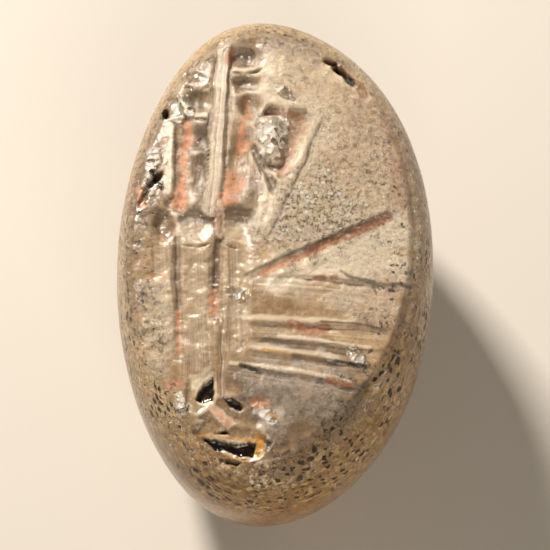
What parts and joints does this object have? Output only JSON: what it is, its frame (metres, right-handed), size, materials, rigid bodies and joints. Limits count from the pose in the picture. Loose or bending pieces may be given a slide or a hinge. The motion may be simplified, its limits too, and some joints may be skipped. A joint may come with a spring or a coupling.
{
  "type": "stamp seal",
  "caption": "Oval domed stamp seal of cloudy translucent quartz, with standing robed figures and a fan of wing feathers cut into its face; pressed into clay to mark it.",
  "frame": {"origin": "middle of the small flat on the dome that the seal rests on, under the middle of its outline", "axes": "+Z out of the engraved face; +Y along the seal's length towards the top of the engraved scene; +X to the right of the scene"},
  "size_m": [0.016, 0.0266, 0.0122],
  "materials": {
    "quartz": "cloudy honey-coloured quartz, translucent, worn satin polish with pits, chips and old red-brown residue in the cuts"
  },
  "bodies": {
    "root": {"seal": "quartz"}
  },
  "joints": []
}
